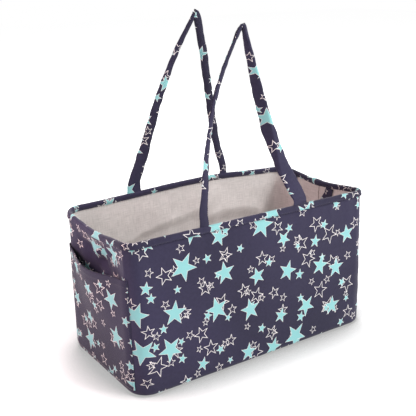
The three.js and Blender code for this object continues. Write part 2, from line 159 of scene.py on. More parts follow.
def sew(mesh, columns, rows, width, height, place, print_place=(0.0, 0.0)):
    """Cuts a flat piece of cloth and sews it in place. place takes metres on the cut."""
    laid = bmesh.ops.create_grid(mesh, x_segments=columns, y_segments=rows, size=0.5)
    on_cut = mesh.loops.layers.uv.get("Cut") or mesh.loops.layers.uv.new("Cut")
    for vert in laid["verts"]:
        vert.co = ((vert.co.x + 0.5) * width, (vert.co.y + 0.5) * height, 0.0)
    for face in {face for vert in laid["verts"] for face in vert.link_faces}:
        face.smooth = True
        for loop in face.loops:
            loop[on_cut].uv = (
                loop.vert.co.x + print_place[0],
                loop.vert.co.y + print_place[1],
            )
    for vert in laid["verts"]:
        vert.co = place(vert.co.x, vert.co.y)
    return laid["verts"]


def finish_piece(mesh, name, material, thickness=0.0):
    """Makes the object, with its cloth's thickness inwards from the sewn face."""
    data = bpy.data.meshes.new(name)
    mesh.to_mesh(data)
    mesh.free()
    piece = bpy.data.objects.new(name, data)
    bpy.context.collection.objects.link(piece)
    data.materials.append(material)
    if thickness:
        ply = piece.modifiers.new("thickness", "SOLIDIFY")
        ply.thickness = thickness
        ply.offset = -1.0
    return piece


def colour(text):
    """An sRGB hex colour as linear red, green, blue and alpha."""
    channels = [int(text[i : i + 2], 16) / 255 for i in (1, 3, 5)]
    return [*(c / 12.92 if c < 0.04045 else ((c + 0.055) / 1.055) ** 2.4 for c in channels), 1.0]


def add(tree, kind, settings=None, **links):
    """Adds a node. Each link names a socket, or its number after an s, and its source."""
    node = tree.nodes.new("ShaderNode" + kind)
    for name, value in (settings or {}).items():
        setattr(node, name, value)
    for name, value in links.items():
        key = int(name[1:]) if name[1:].isdigit() else name.replace("_", " ")
        socket = node.inputs[key]
        if isinstance(value, bpy.types.NodeSocket):
            tree.links.new(value, socket)
        else:
            socket.default_value = value
    return node


def start_material(name):
    """Makes a material, and gives it with its node tree and its shader."""
    material = bpy.data.materials.new(name)
    material.use_nodes = True
    return material, material.node_tree, material.node_tree.nodes["Principled BSDF"]


# Star print. Each layer scatters five-pointed stars over the cloth: the nearest scatter
# point gives a star's middle, its room and its tilt, and the fold of the angle into a
# tenth of a turn gives the distance from the star's edge in metres.
notch = 0.40  # notch radius as a share of the point's
tenth = math.pi / 5
edge_x = notch * math.sin(tenth)
edge_y = 1 - notch * math.cos(tenth)
edge_tilt = math.atan2(edge_y, edge_x)
edge_reach = edge_x / math.hypot(edge_x, edge_y)

star_print = bpy.data.node_groups.new("star print", "ShaderNodeTree")
for socket, way, kind in (
    ("Place", "INPUT", "Vector"),
    ("Cloth", "INPUT", "Color"),
    ("Colour", "OUTPUT", "Color"),
    ("Ink", "OUTPUT", "Float"),
):
    star_print.interface.new_socket(socket, in_out=way, socket_type="NodeSocket" + kind)
cut_place = star_print.nodes.new("NodeGroupInput")
star_aqua = colour("#93d1d2")
star_cream = colour("#fbf5f3")
star_room = 0.97  # share of the free room that a star may fill
star_layers = [
    # spread of the middles, jitter, smallest and largest point radius, share left out,
    # tilt of the layer, filled, width of the cream line
    (0.053, 0.75, 0.0075, 0.0115, 0.04, 0.4, False, 0.0008),
    (0.063, 0.75, 0.0130, 0.0220, 0.04, 1.1, False, 0.0010),
    (0.064, 0.70, 0.0080, 0.0120, 0.08, 2.3, True, 0.0005),
    (0.077, 0.50, 0.0140, 0.0290, 0.00, 0.2, True, 0.0006),
]
in_colour = {"data_type": "RGBA"}  # what makes a Mix node mix colours
printed = cut_place.outputs["Cloth"]
inked = 0.0
tree = star_print
for number, layer in enumerate(star_layers):
    spread, jitter, least, most, left_out, tilt, filled, line = layer
    scatter = add(
        tree,
        "Mapping",
        Vector=cut_place.outputs["Place"],
        Location=(0.31 * number + 0.07, 0.23 * number, 0.0),
        Rotation=(0.0, 0.0, tilt),
    ).outputs[0]
    flat = {"voronoi_dimensions": "2D"}
    points = {"Vector": scatter, "Scale": 1 / spread, "Randomness": jitter}
    middle = add(tree, "TexVoronoi", flat, **points).outputs
    room = add(tree, "TexVoronoi", {**flat, "feature": "N_SPHERE_RADIUS"}, **points).outputs
    chance = add(tree, "SeparateColor", Color=middle["Color"]).outputs
    away = add(
        tree, "VectorMath", {"operation": "SUBTRACT"}, s0=scatter, s1=middle["Position"]
    ).outputs[0]
    across = add(tree, "SeparateXYZ", Vector=away).outputs
    distance = add(tree, "VectorMath", {"operation": "LENGTH"}, s0=away).outputs["Value"]
    angle = add(tree, "Math", {"operation": "ARCTAN2"}, s0=across["Y"], s1=across["X"])
    spun = add(
        tree,
        "Math",
        {"operation": "MULTIPLY_ADD"},
        s0=chance["Red"],
        s1=2 * math.pi,
        s2=angle.outputs[0],
    )
    in_tenth = add(tree, "Math", {"operation": "PINGPONG"}, s0=spun.outputs[0], s1=tenth)
    leaning = add(tree, "Math", {"operation": "SUBTRACT"}, s0=in_tenth.outputs[0], s1=edge_tilt)
    cosine = add(tree, "Math", {"operation": "COSINE"}, s0=leaning.outputs[0])
    wished = add(tree, "MapRange", Value=chance["Green"], To_Min=least, To_Max=most)
    spare = add(tree, "Math", {"operation": "MULTIPLY"}, s0=room["Radius"], s1=star_room * spread)
    radius = add(
        tree, "Math", {"operation": "MINIMUM"}, s0=wished.outputs[0], s1=spare.outputs[0]
    )
    reach = add(tree, "Math", {"operation": "MULTIPLY"}, s0=radius.outputs[0], s1=-edge_reach)
    shown = add(
        tree,
        "Math",
        {"operation": "MULTIPLY_ADD"},
        s0=distance,
        s1=cosine.outputs[0],
        s2=reach.outputs[0],
    )
    skipped = add(tree, "Math", {"operation": "LESS_THAN"}, s0=chance["Blue"], s1=left_out)
    past_edge = add(
        tree, "Math", {"operation": "ADD"}, s0=shown.outputs[0], s1=skipped.outputs[0]
    ).outputs[0]
    outline = add(
        tree, "Math", {"operation": "COMPARE"}, s0=past_edge, s1=-line / 2, s2=line / 2
    ).outputs[0]
    cover = outline
    if filled:
        cover = add(tree, "Math", {"operation": "LESS_THAN"}, s0=past_edge, s1=0.0).outputs[0]
        printed = add(tree, "Mix", in_colour, Factor=cover, s6=printed, s7=star_aqua).outputs[2]
    printed = add(tree, "Mix", in_colour, Factor=outline, s6=printed, s7=star_cream).outputs[2]
    inked = add(tree, "Math", {"operation": "MAXIMUM"}, s0=inked, s1=cover).outputs[0]
print_out = tree.nodes.new("NodeGroupOutput")
tree.links.new(printed, print_out.inputs["Colour"])
tree.links.new(inked, print_out.inputs["Ink"])


def printed_canvas(name, from_cut=True):
    """Printed cotton canvas, woven: matt, with threads and a slight fluff, and navy ink
    that lies a little uneven. The print and the weave follow the cut of the cloth, or the piece's
    own place when from_cut is off."""
    material, tree, shader = start_material(name)
    if from_cut:
        place = add(tree, "UVMap", {"uv_map": "Cut"}).outputs[0]
    else:
        place = add(tree, "TexCoord").outputs["Object"]
    thread = 0.0016  # canvas threads, drawn coarse enough to show
    mottle = add(tree, "TexNoise", Vector=place, Scale=1 / 0.006, Detail=3.0, Roughness=0.7)
    patchy = add(tree, "TexNoise", Vector=place, Scale=1 / 0.30, Detail=1.5)
    uneven = add(
        tree,
        "Math",
        {"operation": "MULTIPLY_ADD"},
        s0=mottle.outputs[0],
        s1=0.35,
        s2=patchy.outputs[0],
    )
    spreading = add(tree, "MapRange", Value=uneven.outputs[0], From_Min=0.50, From_Max=0.86)
    navies = {"s6": colour("#201c35"), "s7": colour("#322d4a")}
    ground = add(tree, "Mix", in_colour, Factor=spreading.outputs[0], **navies)
    stars = tree.nodes.new("ShaderNodeGroup")
    stars.node_tree = star_print
    tree.links.new(place, stars.inputs["Place"])
    tree.links.new(ground.outputs[2], stars.inputs["Cloth"])
    warp, weft = (
        add(
            tree,
            "TexWave",
            {"bands_direction": way},
            Vector=place,
            Scale=math.pi / (10 * thread),
            Distortion=0.6,
            Detail=1.0,
            Detail_Scale=3.0,
        )
        for way in "XY"
    )
    weave = add(
        tree,
        "Math",
        {"operation": "MULTIPLY_ADD"},
        s0=warp.outputs["Fac"],
        s1=0.5,
        s2=weft.outputs["Fac"],
    )
    lit = add(
        tree,
        "Mix",
        {"data_type": "RGBA", "blend_type": "MULTIPLY"},
        Factor=0.20,
        s6=stars.outputs["Colour"],
        s7=weave.outputs[0],
    )
    tree.links.new(lit.outputs[2], shader.inputs["Base Color"])
    matt = add(tree, "MapRange", Value=stars.outputs["Ink"], To_Min=0.86, To_Max=0.72)
    tree.links.new(matt.outputs[0], shader.inputs["Roughness"])
    bump = add(tree, "Bump", Height=weave.outputs[0], Strength=0.35, Distance=0.0003)
    tree.links.new(bump.outputs[0], shader.inputs["Normal"])
    shader.inputs["IOR"].default_value = 1.45
    shader.inputs["Specular IOR Level"].default_value = 0.5
    shader.inputs["Sheen Weight"].default_value = 0.25
    shader.inputs["Sheen Roughness"].default_value = 0.4
    return material


canvas = printed_canvas("printed cotton canvas")

cloth_top = 0.0083  # the cloth's upper edge below the rim's top
turned_under = base_edge * math.pi / 2
outer_rise = rim_height - cloth_top - base_edge
front_fold = long_reach[0] + 0.8 * corner_reach[0]  # creases where the front turns round
hollow_depth = 0.018


def end_hollow(point):
    """How far the loose cloth of the left end sinks in, above its pocket's mouth."""
    if point.x >= 0:
        return 0.0
    depth = rim_top(point.x, point.y) - point.z
    tall = smooth(0.003, 0.045, depth) * smooth(0.125, 0.070, depth)
    wide = math.cos(math.pi / 2 * min(1.0, abs(point.y + 0.01) / 0.118)) ** 2
    crumpled = 1 + 0.6 * ripple((point.y, point.z * 1.3, 9.0), 0.026, 9.0)
    return hollow_depth * tall * wide * crumpled * smooth(0.262, 0.272, -point.x)


def outer_place(start):
    """Where a point of a half of the outer cloth ends up."""

    def place(across, up):
        around = start + across
        if up < turned_under:
            angle = up / base_edge
            return wall(
                around,
                base_edge * (1 - math.cos(angle)),
                base_edge * (1 - math.sin(angle)),
            )
        share = (up - turned_under) / outer_rise
        top = rim(around, cloth_top)
        height = lerp(base_edge, top.z, share)
        flat = wall(around, height)
        on_end = smooth(rim_half[0] - 0.02, rim_half[0] - 0.002, abs(flat.x))
        slack = smooth(0.0, 0.12, share) * smooth(1.0, 0.75, share)
        billow = 0.0026 * (0.5 + 0.5 * ripple(flat, 0.13, 3.0)) * slack
        creases = 0.0011 * ripple((flat.x * 0.6, flat.y * 0.6, height * 1.8), 0.045, 7.0)
        hang = 0.0007 * ripple((flat.x, flat.y, height * 0.12), 0.016, 2.0)
        hang *= smooth(0.72, 0.98, share)
        give = (billow + creases * slack + hang) * lerp(1.0, 0.12, on_end)
        # The front's cloth is creased where it turns round the corners
        fold_gap = abs(abs(math.remainder(around, girth)) - front_fold)
        give += 0.0014 * math.exp(-((fold_gap / 0.0045) ** 2)) * smooth(0.15, 0.5, share)
        return wall(around, height, end_hollow(flat) - give)

    return place


outer = bmesh.new()
outer_cut = (2 * quarter, turned_under + outer_rise)
for start in (-quarter, quarter):
    sew(outer, 240, 64, *outer_cut, outer_place(start), (start, 0.0))
bmesh.ops.remove_doubles(outer, verts=outer.verts, dist=0.00005)
outer_cloth = finish_piece(outer, "outer_cloth", canvas, cloth_thickness)
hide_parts("outer_front", "outer_back")
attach(outer_cloth, "bag")


# Base: a flat panel of the same canvas under a stiff grey board. The board is slipped in
# loose between the panel and the lining's floor, and both keep their CAD shapes.
def dress(name, material):
    """Gives a CAD piece that keeps its shape its material."""
    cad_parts[name].data.materials.clear()
    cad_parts[name].data.materials.append(material)


dress("bottom_panel", printed_canvas("base canvas", from_cut=False))

# Hardboard: pressed wood pulp, matt and a little furry, with fibres of two greys
board, tree, shader = start_material("grey hardboard")
place = add(tree, "TexCoord").outputs["Object"]
fibres = add(tree, "TexNoise", Vector=place, Scale=1 / 0.004, Detail=5.0, Roughness=0.7)
greys = {"s6": colour("#857b6d"), "s7": colour("#9a9081")}
pulp = add(tree, "Mix", in_colour, Factor=fibres.outputs[0], **greys)
tree.links.new(pulp.outputs[2], shader.inputs["Base Color"])
grain = add(tree, "Bump", Height=fibres.outputs[0], Strength=0.3, Distance=0.0002)
tree.links.new(grain.outputs[0], shader.inputs["Normal"])
shader.inputs["Roughness"].default_value = 0.88
dress("base_board", board)


# Lining: a pale linen weave, hung from the casing, sewn to its own floor and seamed at the
# middle of each end with a thick row of dark brown thread that also paints the seam's shade.
# It is cut loose, so two soft folds slant over its back wall, and it stands in a little at the
# foot.
lining_thickness = 0.001
lining_inset = 0.0021  # its stand in from the outer cloth's face
lining_rise = 0.0065  # the height of its foot
lining_foot = 0.0013  # how much further in the foot is sewn
lining_height = rim_height - cloth_top - lining_rise
back_folds = [
    # points along a soft fold of the back wall, the stretch where it comes and goes, how
    # far it stands out, and the reach of its dark underside at its left and right ends
    (
        [(-0.175, 0.178), (-0.136, 0.194), (-0.099, 0.208), (-0.060, 0.217),
         (-0.017, 0.223), (0.030, 0.232), (0.065, 0.244), (0.084, 0.253)],
        (-0.200, -0.120, 0.030, 0.095), 0.0060, (0.016, 0.034),
    ),
    (
        [(0.020, 0.206), (0.064, 0.213), (0.107, 0.217), (0.155, 0.215), (0.184, 0.208),
         (0.213, 0.194), (0.240, 0.180)],
        (0.015, 0.070, 0.180, 0.240), 0.0085, (0.034, 0.036),
    ),
]

# Slubby linen: matt and dry, with uneven yarns that cross, and a soft change of tone
linen, tree, shader = start_material("linen lining")
place = add(tree, "UVMap", {"uv_map": "Cut"}).outputs[0]
slub = 0.0012  # thick and thin yarns, both ways
yarns = []
for stretch in ((1 / slub, 1 / (18 * slub), 1.0), (1 / (18 * slub), 1 / slub, 1.0)):
    drawn = add(tree, "VectorMath", {"operation": "MULTIPLY"}, s0=place, s1=stretch)
    yarns.append(add(tree, "TexNoise", Vector=drawn.outputs[0], Scale=1.0, Detail=2.0))
weave = add(
    tree, "Math", {"operation": "ADD"}, s0=yarns[0].outputs[0], s1=yarns[1].outputs[0]
)
blotch = add(tree, "TexNoise", Vector=place, Scale=1 / 0.05, Detail=2.0)
tone = add(tree, "MapRange", Value=weave.outputs[0], From_Min=0.65, From_Max=1.35)
yarn_greys = {"s6": colour("#c1bbb8"), "s7": colour("#e3dcd9")}
yarn_colour = add(tree, "Mix", in_colour, Factor=tone.outputs[0], **yarn_greys)
dull = add(tree, "MapRange", Value=blotch.outputs[0], To_Min=0.90, To_Max=1.06)
worn = add(
    tree,
    "Mix",
    {"data_type": "RGBA", "blend_type": "MULTIPLY"},
    Factor=1.0,
    s6=yarn_colour.outputs[2],
    s7=dull.outputs[0],
)
tree.links.new(worn.outputs[2], shader.inputs["Base Color"])
bump = add(tree, "Bump", Height=weave.outputs[0], Strength=0.45, Distance=0.0003)
tree.links.new(bump.outputs[0], shader.inputs["Normal"])
shader.inputs["Roughness"].default_value = 0.92
shader.inputs["Specular IOR Level"].default_value = 0.2
shader.inputs["Sheen Weight"].default_value = 0.15


def back_fold(point, line, stretch, stand, undersides):
    """How far a fold of the back wall stands out at a point."""
    if point.x <= line[0][0] or point.x >= line[-1][0]:
        return 0.0
    for (x0, z0), (x1, z1) in zip(line, line[1:]):
        if point.x <= x1:
            height = lerp(z0, z1, smooth(0.0, 1.0, (point.x - x0) / (x1 - x0)))
            break
    shown = smooth(stretch[0], stretch[1], point.x) * smooth(stretch[3], stretch[2], point.x)
    over = point.z - height
    if over > 0:
        return stand * shown * math.exp(-over / 0.030)
    share = (point.x - line[0][0]) / (line[-1][0] - line[0][0])
    return stand * shown * smooth(-lerp(undersides[0], undersides[1], share), 0.0, over)


def lining_slack(point, share):
    """How far the lining stands in from the wall. share is 0 at its foot and 1 on top."""
    hung = smooth(0.0, 0.10, share) * smooth(1.0, 0.86, share)
    folds = 0.5 + 0.5 * ripple((point.x, point.y, point.z * 0.45), 0.085, 11.0)
    small = ripple((point.x, point.y, point.z * 0.7), 0.032, 5.0)
    slack = (0.0065 * folds * folds + 0.0014 * small) * hung
    if point.x > 0.255:  # the right end ripples on a slant, and lies flat behind its strap
        slanting = (point.y - 0.55 * point.z) / 0.7
        slack += 0.0022 * (0.5 + 0.5 * ripple((slanting, 0.0, 0.0), 0.022, 15.0)) * hung
        held = smooth(-0.060, -0.045, point.y) * smooth(0.115, 0.100, point.y)
        held *= smooth(0.150, 0.175, point.z)
        slack = lerp(slack, min(slack, 0.0012), held)
    if point.y > 0.08:  # the back has its folds, a belly at the foot and a loose corner
        for line, stretch, stand, undersides in back_folds:
            slack += back_fold(point, line, stretch, stand, undersides) * hung
        slack += 0.010 * smooth(0.185, 0.110, point.z) * smooth(0.0, 0.2, share)
        corner_line = 0.210 + 0.58 * (point.z - 0.198)
        slack += 0.004 * smooth(0.0, 0.05, point.x - corner_line) * hung
    return slack


def lining_place(start):
    """Where a point of a half of the lining ends up."""

    def place(across, up):
        around = start + across
        top = rim(around, cloth_top)
        share = up / lining_height
        height = lerp(lining_rise, top.z, share)
        flat = wall(around, height)
        drawn_in = lining_foot * smooth(0.04, 0.0, share)
        seam_gap = abs(math.remainder(around - quarter, 2 * quarter))
        seam = 0.0012 * math.exp(-((seam_gap / 0.0018) ** 2)) * smooth(0.0, 0.1, share)
        inset = lining_inset + drawn_in + lining_slack(flat, share) + seam
        return wall(around, height, inset + end_hollow(flat))

    return place


lining = bmesh.new()
for start in (-quarter, quarter):
    sew(lining, 220, 88, 2 * quarter, lining_height, lining_place(start), (start, 0.0))
bmesh.ops.remove_doubles(lining, verts=lining.verts, dist=0.00005)
lining_walls = finish_piece(lining, "lining_walls", linen, lining_thickness)
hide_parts("lining_front", "lining_back")
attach(lining_walls, "bag")


def spun_thread(name, dark, light, roughness, sheen=0.0):
    """Spun thread: dull and a little hairy, with plies that turn light and dark."""
    material, tree, shader = start_material(name)
    place = add(tree, "TexCoord").outputs["Object"]
    ply = add(tree, "TexNoise", Vector=place, Scale=1 / 0.0006, Detail=2.0)
    spun = add(
        tree, "Mix", in_colour, Factor=ply.outputs[0], s6=colour(dark), s7=colour(light)
    )
    tree.links.new(spun.outputs[2], shader.inputs["Base Color"])
    shader.inputs["Roughness"].default_value = roughness
    shader.inputs["Sheen Weight"].default_value = sheen
    return material


def stitch(mesh, path, outwards, pitch=0.0032, length=0.0024, radius=0.00035):
    """Lays a row of lock stitches along a path of points. outwards is one for each."""
    travelled, due = 0.0, pitch / 2
    for here, there, out in zip(path, path[1:], outwards):
        step = (there - here).length
        while step > 0 and travelled + step >= due:
            spot = here.lerp(there, (due - travelled) / step)
            along = (there - here).normalized()
            side = out.cross(along).normalized()
            turned = Matrix((along, side, out.normalized())).transposed().to_4x4()
            size = Matrix.Diagonal((length / 2, radius, radius, 1.0))
            bmesh.ops.create_icosphere(
                mesh,
                subdivisions=1,
                radius=1.0,
                matrix=Matrix.Translation(spot) @ turned @ size,
            )
            due += pitch
        travelled += step


# The lining's end seams: a thick row of dark brown thread, which also paints the seam fold's
# shade
seam_shade_thread = spun_thread("brown seam thread and painted seam shade", "#5a463f", "#7d665c", 0.7)
seam_steps = 120
end_rows = bmesh.new()
for side_x in (-1, 1):
    sewn = lining_place(-quarter if side_x < 0 else 0.0)
    across = 0.0 if side_x < 0 else quarter
    inwards = Vector((-side_x, 0.0, 0.0))
    path = [
        sewn(across, lining_height * (0.03 + 0.96 * i / seam_steps)) + inwards * lining_thickness
        for i in range(seam_steps + 1)
    ]
    stitch(end_rows, path, [inwards] * len(path), pitch=0.0028, length=0.0030, radius=0.0008)
end_seam_shade = finish_piece(end_rows, "lining_seam_stitches_and_shade", seam_shade_thread)
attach(end_seam_shade, "bag")

floor_low, floor_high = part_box("lining_floor")
floor_size = floor_high - floor_low
floor_gap = 0.0037  # its corners' radius, less than the base's


def floor_place(across, up):
    """The floor's cut is squeezed from a rectangle to the base's rounded outline."""
    x, y = across * 2 / floor_size.x - 1, up * 2 / floor_size.y - 1
    edge = max(abs(x), abs(y))
    half_x, half_y = floor_size.x / 2, floor_size.y / 2
    bend = base_rounds[y > 0] - floor_gap
    spot = Vector((x * half_x, y * half_y, floor_high.z))
    over_x = abs(spot.x) - (half_x - bend)
    over_y = abs(spot.y) - (half_y - bend)
    if over_x > 0 and over_y > 0:
        far = max(over_x, over_y) / math.hypot(over_x, over_y)
        spot.x = math.copysign(half_x - bend + over_x * far, spot.x)
        spot.y = math.copysign(half_y - bend + over_y * far, spot.y)
    rumple = 0.5 + 0.5 * ripple((spot.x * 0.8, spot.y * 1.3, 0.0), 0.07, 21.0)
    spot.z += 0.0022 * rumple * smooth(1.0, 0.9, edge)
    return spot


floor_mesh = bmesh.new()
sew(floor_mesh, 120, 64, floor_size.x, floor_size.y, floor_place)
lining_floor = finish_piece(floor_mesh, "lining_floor_cloth", linen, lining_thickness)
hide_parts("lining_floor")
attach(lining_floor, "bag")


# Rim wire and its ferrule: spring steel wire, drawn and bare, with its two ends butted in
# a crimped sleeve at the right end. Both are hidden in the casing and keep their shapes.
steel, tree, shader = start_material("drawn spring steel")
place = add(tree, "TexCoord").outputs["Object"]
draw_marks = add(tree, "TexNoise", Vector=place, Scale=1 / 0.0015, Detail=2.0)
dulled = add(tree, "MapRange", Value=draw_marks.outputs[0], To_Min=0.28, To_Max=0.42)
tree.links.new(dulled.outputs[0], shader.inputs["Roughness"])
shader.inputs["Base Color"].default_value = colour("#a4a7aa")
shader.inputs["Metallic"].default_value = 1.0
for name in ("rim_wire", "wire_ferrule"):
    dress(name, steel)


# Rim casing: a strip of the printed canvas folded over the wire, its edges turned in, and
# stitched through cloth and lining, which shows as a row outside and a row inside. It
# swells over the wire's ferrule, and puckers a little along the rows.
casing_thickness = 0.0017
casing_outside = 0.0108  # its edges' depths on cloth and on lining
casing_inside = 0.0116
casing_half = 0.00455  # half its width over the wire
edge_stand = 0.0012  # how far its outer edge stands off
wire_inset = 0.00225  # the wire's middle, in and down from the rim
wire_depth = 0.00455
neck_inset = 0.0054
ferrule_reach = 0.018  # half the swelling, and its middle's y
ferrule_shift = 0.008
stitch_outside = 0.0092  # the depths of the rows of stitches
stitch_inside = 0.0102
over_steps = 12  # steps of the turn over the wire

casing_profile = [(-casing_stand - edge_stand, casing_outside), (-casing_stand, wire_depth)]
for step in range(1, over_steps):
    angle = math.pi * step / over_steps
    inset = wire_inset - casing_half * math.cos(angle)
    casing_profile.append((inset, wire_depth * (1 - math.sin(angle))))
casing_profile += [
    (wire_inset + casing_half, wire_depth),
    (wire_inset + casing_half - 0.0002, 0.0062),
    (neck_inset + 0.0005, 0.0085),
    (neck_inset, 0.0098),
    (neck_inset, casing_inside),
]
profile_length = [0.0]
for (inset0, depth0), (inset1, depth1) in zip(casing_profile, casing_profile[1:]):
    profile_length.append(profile_length[-1] + math.hypot(inset1 - inset0, depth1 - depth0))
casing_cut = profile_length[-1]


def on_profile(up):
    """Inset and depth of a point of the casing's strip, from its outer lower edge."""
    for i in range(1, len(profile_length)):
        if up <= profile_length[i] or i == len(profile_length) - 1:
            before, after = casing_profile[i - 1], casing_profile[i]
            share = (up - profile_length[i - 1]) / (profile_length[i] - profile_length[i - 1])
            share = clamp(share)
            return lerp(before[0], after[0], share), lerp(before[1], after[1], share)


def casing_place(across, up):
    """Where a point of the casing's strip ends up, lumpy over the wire and puckered."""
    inset, depth = on_profile(up)
    flat = rim(across, depth, inset)
    out, down = inset - wire_inset, depth - wire_depth
    reach = math.hypot(out, down) or 1.0
    over_ferrule = 0.0
    if flat.x > 0.25 and abs(flat.y) < 0.08:
        over_ferrule = smooth(ferrule_reach, 0.008, abs(flat.y - ferrule_shift))
    near_wire = smooth(0.010, 0.006, reach)
    grow = 0.0013 * over_ferrule * near_wire
    lumps = 0.00045 * ripple(flat, 0.014, 9.0) + 0.0004 * ripple(flat, 0.045, 4.0)
    pucker = 0.00035 * ripple((across, 0.0, 0.0), 0.0055, 13.0)
    side = -1 if out < 0 else 1
    from_row = depth - (stitch_outside if out < 0 else stitch_inside)
    pucker *= math.exp(-((from_row / 0.005) ** 2))
    sunk = -0.0006 * math.exp(-((from_row / 0.0011) ** 2))
    swell = grow + max(lumps, -0.0002) * smooth(0.015, 0.006, depth)
    out_more = out / reach * swell + side * (pucker + sunk) * smooth(0.008, 0.011, depth)
    down_more = down / reach * swell
    return rim(across, depth + down_more, inset + out_more)


casing = bmesh.new()
sew(casing, 560, 44, girth, casing_cut, casing_place, (0.413, 0.171))
bmesh.ops.remove_doubles(casing, verts=casing.verts, dist=0.00003)
rim_casing = finish_piece(casing, "rim_casing", canvas, casing_thickness)
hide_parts("rim_casing_front", "rim_casing_back")
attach(rim_casing, "bag")

thread = spun_thread("sewing thread", "#23212f", "#3a3749", 0.6, sheen=0.1)
row_steps = 900
row_outside = casing_outside - stitch_outside
row_inside = casing_cut - (casing_inside - stitch_inside)
along_rim = [girth * i / row_steps for i in range(row_steps + 1)]
outwards = [
    (wall(around, rim_height) - wall(around, rim_height, 0.01)).normalized()
    for around in along_rim
]
rim_rows = bmesh.new()
stitch(rim_rows, [casing_place(around, row_outside) for around in along_rim], outwards)
stitch(
    rim_rows,
    [casing_place(around, row_inside) for around in along_rim],
    [-out for out in outwards],
)
rim_stitches = finish_piece(rim_rows, "rim_stitches", thread)
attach(rim_stitches, "bag")


# End pockets: a panel of the printed canvas on each end, sewn down at its sides and foot,
# with a turned hem at the mouth that stands off slack in the middle.
pocket_drop = 0.067  # the mouth below the rim, and its sag
pocket_sag = 0.002
pocket_bow = 0.0165  # its stand off the end in the middle, and
pocket_bow_start = 0.070  # the height above which it stands off
pocket_bottom = 0.012
pocket_turn = 30 / 90  # share of a corner that it reaches round
piece_gap = 0.0003  # the CAD's gap between pieces
hem_height = 0.014
side_seam = 0.0035  # stitch rows in from its sides and foot
foot_seam = 0.004
hem_steps, side_steps = 90, 80
pocket_reach = [end + corner * pocket_turn for end, corner in zip(end_reach, corner_reach)]
pocket_width = sum(pocket_reach)
pocket_rise = rim_height - pocket_drop - pocket_bottom


def pocket_place(side_x):
    """For the left (-1) or right (1) end, where a point of its pocket is sewn, and which
    way the cloth faces there."""
    first = side_x * quarter - pocket_reach[0 if side_x > 0 else 1]

    def place(across, up):
        around = first + across
        on_rim = wall(around, rim_height)
        past_middle = abs(math.remainder(around - quarter, 2 * quarter))
        reach = pocket_reach[on_rim.y > 0]
        slack = math.cos(math.pi / 2 * min(1.0, past_middle / reach)) ** 2
        mouth = rim_top(on_rim.x, on_rim.y) - pocket_drop - pocket_sag * slack
        share = up / pocket_rise
        height = lerp(pocket_bottom, mouth, share)
        bow = pocket_bow * slack * smooth(pocket_bow_start, mouth, height)
        hem = 0.0007 * smooth(mouth - hem_height - 0.001, mouth - hem_height, height)
        ease = 0.5 + 0.5 * ripple((on_rim.x, on_rim.y, height * 0.6), 0.05, 17.0)
        loose = hem + 0.0010 * ease * smooth(0.0, 0.15, share)
        stand = bow + loose * smooth(reach, reach - 0.006, past_middle)
        return wall(around, height, -piece_gap - cloth_thickness - stand)

    def facing(across):
        around = first + across
        return (wall(around, 0.2) - wall(around, 0.2, 0.01)).normalized()

    return place, facing


for name, side_x, print_place in (
    ("pocket_left", -1, (0.04, 0.52)),
    ("pocket_right", 1, (0.61, 0.47)),
):
    panel = bmesh.new()
    place, facing = pocket_place(side_x)
    sew(panel, 96, 64, pocket_width, pocket_rise, place, print_place)
    pocket = finish_piece(panel, name + "_cloth", canvas, cloth_thickness)
    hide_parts(name)
    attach(pocket, "bag")
    rows = bmesh.new()
    along_hem = [pocket_width * i / hem_steps for i in range(hem_steps + 1)]
    for up in (pocket_rise - hem_height + 0.001, foot_seam):
        path = [place(across, up) for across in along_hem]
        stitch(rows, path, [facing(across) for across in along_hem])
    for across in (side_seam, pocket_width - side_seam):
        path = [place(across, pocket_rise * i / side_steps) for i in range(side_steps + 1)]
        stitch(rows, path, [facing(across)] * len(path))
    pocket_stitches = finish_piece(rows, name + "_stitches", thread)
    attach(pocket_stitches, "bag")


# Handles: one long strap each, two plies of the printed canvas, edge stitched. It comes
# out of the top of the casing, and it folds along itself towards the top, where the legs
# meet in a pinch.
foot_shift = -0.007  # the middle between its feet, in x
foot_spacing = 0.224
rim_middle = 0.13045  # the middle of the rim's width, in y
ply_thickness = 0.0014
fold_radius = 0.0011
strap_cut = 0.035
strap_sunk = 0.007  # it runs on this far down into the casing
strap_seam = 0.0028  # stitch rows in from its edges
strap_steps = 340
strap_columns = 44
strap_row_steps = 500
leg_run = [
    # share of half the spacing, and of the way up
    (1.0, 0.0), (0.985, 0.03), (0.84, 0.16), (0.665, 0.36), (0.465, 0.6),
    (0.265, 0.8), (0.135, 0.905), (0.066, 0.96), (0.028, 0.988), (0.0, 1.0),
]


def smooth_run(points, steps, between=24):
    """A smooth curve through the points, as evenly spaced samples, and its length."""
    ends = [points[0] * 2 - points[1], *points, points[-1] * 2 - points[-2]]
    fine = []
    for before, here, there, after in zip(ends, ends[1:], ends[2:], ends[3:]):
        knots = [0.0]
        for a, b in ((before, here), (here, there), (there, after)):
            knots.append(knots[-1] + math.sqrt((b - a).length))
        for i in range(between):
            t = lerp(knots[1], knots[2], i / between)
            row = [before, here, there, after]
            for level in (1, 2, 3):
                row = [
                    row[k].lerp(row[k + 1], knot_share(t, knots, k, level))
                    for k in range(len(row) - 1)
                ]
            fine.append(row[0])
    fine.append(points[-1])
    lengths = [0.0]
    for a, b in zip(fine, fine[1:]):
        lengths.append(lengths[-1] + (b - a).length)
    even, at = [], 0
    for i in range(steps + 1):
        wanted = lengths[-1] * i / steps
        while at < len(lengths) - 2 and lengths[at + 1] < wanted:
            at += 1
        share = (wanted - lengths[at]) / (lengths[at + 1] - lengths[at])
        even.append(fine[at].lerp(fine[at + 1], share))
    return even, lengths[-1]


def knot_share(t, knots, k, level):
    """Share of t between the knots that this step of the curve's blending joins."""
    if level == 1:
        return (t - knots[k]) / (knots[k + 1] - knots[k])
    if level == 2:
        return (t - knots[k]) / (knots[k + 2] - knots[k])
    return (t - knots[1]) / (knots[2] - knots[1])


